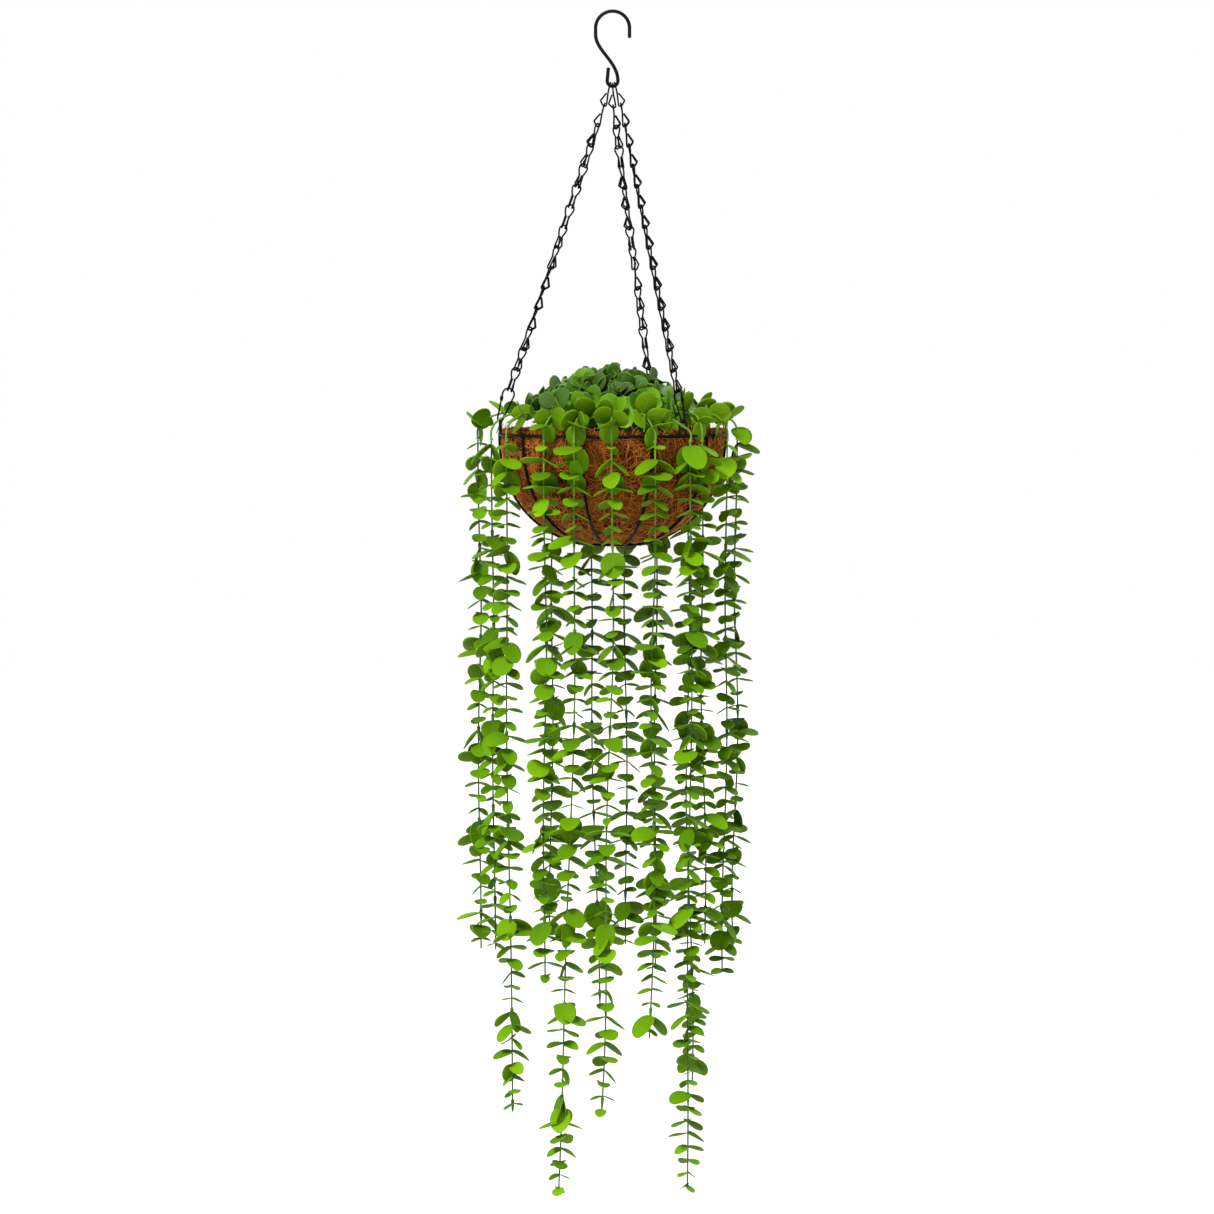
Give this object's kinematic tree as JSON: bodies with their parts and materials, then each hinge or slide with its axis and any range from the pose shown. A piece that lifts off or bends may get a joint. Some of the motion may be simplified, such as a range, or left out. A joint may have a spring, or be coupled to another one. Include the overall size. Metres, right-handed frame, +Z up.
{
  "type": "hanging basket",
  "caption": "Hanging basket: an S hook and wire-link chains carry a wire bowl with a coir liner, a mound of round leaves and long trailing vines.",
  "frame": {"origin": "underside of the hook's crown, at its highest point, where the basket hangs on a bar or screw hook", "axes": "+Z up; -Y is the front, the side that the picture shows; +X is the right of that view, and the hook lies in the XZ plane"},
  "size_m": [0.3312, 0.3311, 1.3145],
  "materials": {
    "hook_wire": "satin",
    "chain_wire": "satin",
    "frame_wire": "satin",
    "coir": "matte",
    "foam": "matte",
    "stem": "matte",
    "crown_leaf": "satin",
    "vine_leaf": "satin"
  },
  "bodies": {
    "hook": {"hook": "hook_wire"},
    "first_links": {"chain_left_link_1": "chain_wire", "chain_back_link_1": "chain_wire", "chain_right_link_1": "chain_wire"},
    "basket": {"chain_left_links_2_to_6": "chain_wire", "chain_left_links_7_to_11": "chain_wire", "chain_left_links_12_to_15": "chain_wire", "clip_left": "chain_wire", "rim_loop_left": "frame_wire", "chain_back_links_2_to_6": "chain_wire", "chain_back_links_7_to_11": "chain_wire", "chain_back_links_12_to_15": "chain_wire", "clip_back": "chain_wire", "rim_loop_back": "frame_wire", "chain_right_links_2_to_6": "chain_wire", "chain_right_links_7_to_11": "chain_wire", "chain_right_links_12_to_15": "chain_wire", "clip_right": "chain_wire", "rim_loop_right": "frame_wire", "rim_ring": "frame_wire", "rib_1": "frame_wire", "rib_2": "frame_wire", "rib_3": "frame_wire", "rib_4": "frame_wire", "rib_5": "frame_wire", "rib_6": "frame_wire", "rib_7": "frame_wire", "rib_8": "frame_wire", "rib_9": "frame_wire", "rib_10": "frame_wire", "base_ring": "frame_wire", "coir_liner": "coir", "foam_fill": "foam", "stem_hub": "stem", "sprig_middle": "crown_leaf", "sprig_1": "crown_leaf", "sprig_2": "crown_leaf", "sprig_3": "crown_leaf", "sprig_4": "crown_leaf", "sprig_5": "crown_leaf", "sprig_6": "crown_leaf", "sprig_7": "crown_leaf"},
    "vine_left_side": {"vine_left_side": "vine_leaf"},
    "vine_left_front": {"vine_left_front": "vine_leaf"},
    "vine_left_corner": {"vine_left_corner": "vine_leaf"},
    "vine_front_left": {"vine_front_left": "vine_leaf"},
    "vine_front_left_inner": {"vine_front_left_inner": "vine_leaf"},
    "vine_front_middle": {"vine_front_middle": "vine_leaf"},
    "vine_front_right_inner": {"vine_front_right_inner": "vine_leaf"},
    "vine_front_right": {"vine_front_right": "vine_leaf"},
    "vine_right_corner": {"vine_right_corner": "vine_leaf"},
    "vine_right_front": {"vine_right_front": "vine_leaf"},
    "vine_right_side": {"vine_right_side": "vine_leaf"},
    "vine_back_right_corner": {"vine_back_right_corner": "vine_leaf"},
    "vine_back_right": {"vine_back_right": "vine_leaf"},
    "vine_back_middle": {"vine_back_middle": "vine_leaf"},
    "vine_back_left_inner": {"vine_back_left_inner": "vine_leaf"},
    "vine_back_left": {"vine_back_left": "vine_leaf"}
  },
  "joints": [
    {"name": "swing_side", "type": "hinge", "parent": "hook", "child": "first_links", "pos_m": [0, 0, -0.076], "axis": [0, 1, 0], "range_deg": [-15, 15]},
    {"name": "swing_fore_aft", "type": "hinge", "parent": "first_links", "child": "basket", "pos_m": [0, 0, -0.10611], "axis": [1, 0, 0], "range_deg": [-18, 18]},
    {"name": "sway_left_side", "type": "hinge", "parent": "basket", "child": "vine_left_side", "pos_m": [-0.15142, 0.01325, -0.47818], "axis": [0.0872, 0.9962, 0], "range_deg": [0, 30]},
    {"name": "sway_left_front", "type": "hinge", "parent": "basket", "child": "vine_left_front", "pos_m": [-0.13532, -0.04925, -0.47818], "axis": [-0.342, 0.9397, 0], "range_deg": [0, 30]},
    {"name": "sway_left_corner", "type": "hinge", "parent": "basket", "child": "vine_left_corner", "pos_m": [-0.11796, -0.0826, -0.47818], "axis": [-0.5736, 0.8192, 0], "range_deg": [0, 30]},
    {"name": "sway_front_left", "type": "hinge", "parent": "basket", "child": "vine_front_left", "pos_m": [-0.07625, -0.11741, -0.47818], "axis": [-0.8387, 0.5446, 0], "range_deg": [0, 30]},
    {"name": "sway_front_left_inner", "type": "hinge", "parent": "basket", "child": "vine_front_left_inner", "pos_m": [-0.0427, -0.13543, -0.47818], "axis": [-0.9537, 0.3007, 0], "range_deg": [0, 30]},
    {"name": "sway_front_middle", "type": "hinge", "parent": "basket", "child": "vine_front_middle", "pos_m": [-0.00124, -0.142, -0.47818], "axis": [-1, 0.0087, 0], "range_deg": [0, 30]},
    {"name": "sway_front_right_inner", "type": "hinge", "parent": "basket", "child": "vine_front_right_inner", "pos_m": [0.04707, -0.13291, -0.47818], "axis": [-0.9426, -0.3338, 0], "range_deg": [0, 30]},
    {"name": "sway_front_right", "type": "hinge", "parent": "basket", "child": "vine_front_right", "pos_m": [0.08606, -0.11421, -0.47818], "axis": [-0.7986, -0.6018, 0], "range_deg": [0, 30]},
    {"name": "sway_right_corner", "type": "hinge", "parent": "basket", "child": "vine_right_corner", "pos_m": [0.09946, -0.09275, -0.47818], "axis": [-0.682, -0.7314, 0], "range_deg": [0, 30]},
    {"name": "sway_right_front", "type": "hinge", "parent": "basket", "child": "vine_right_front", "pos_m": [0.1279, -0.05694, -0.47818], "axis": [-0.4067, -0.9135, 0], "range_deg": [0, 30]},
    {"name": "sway_right_side", "type": "hinge", "parent": "basket", "child": "vine_right_side", "pos_m": [0.13992, -0.00489, -0.47818], "axis": [-0.0349, -0.9994, 0], "range_deg": [0, 30]},
    {"name": "sway_back_right_corner", "type": "hinge", "parent": "basket", "child": "vine_back_right_corner", "pos_m": [0.08432, 0.12041, -0.47818], "axis": [0.8192, -0.5736, 0], "range_deg": [0, 30]},
    {"name": "sway_back_right", "type": "hinge", "parent": "basket", "child": "vine_back_right", "pos_m": [0.04916, 0.14277, -0.47818], "axis": [0.9455, -0.3256, 0], "range_deg": [0, 30]},
    {"name": "sway_back_middle", "type": "hinge", "parent": "basket", "child": "vine_back_middle", "pos_m": [0.01568, 0.14918, -0.47818], "axis": [0.9945, -0.1045, 0], "range_deg": [0, 30]},
    {"name": "sway_back_left_inner", "type": "hinge", "parent": "basket", "child": "vine_back_left_inner", "pos_m": [-0.02587, 0.14674, -0.47818], "axis": [0.9848, 0.1736, 0], "range_deg": [0, 30]},
    {"name": "sway_back_left", "type": "hinge", "parent": "basket", "child": "vine_back_left", "pos_m": [-0.06719, 0.13187, -0.47818], "axis": [0.891, 0.454, 0], "range_deg": [0, 30]}
  ]
}
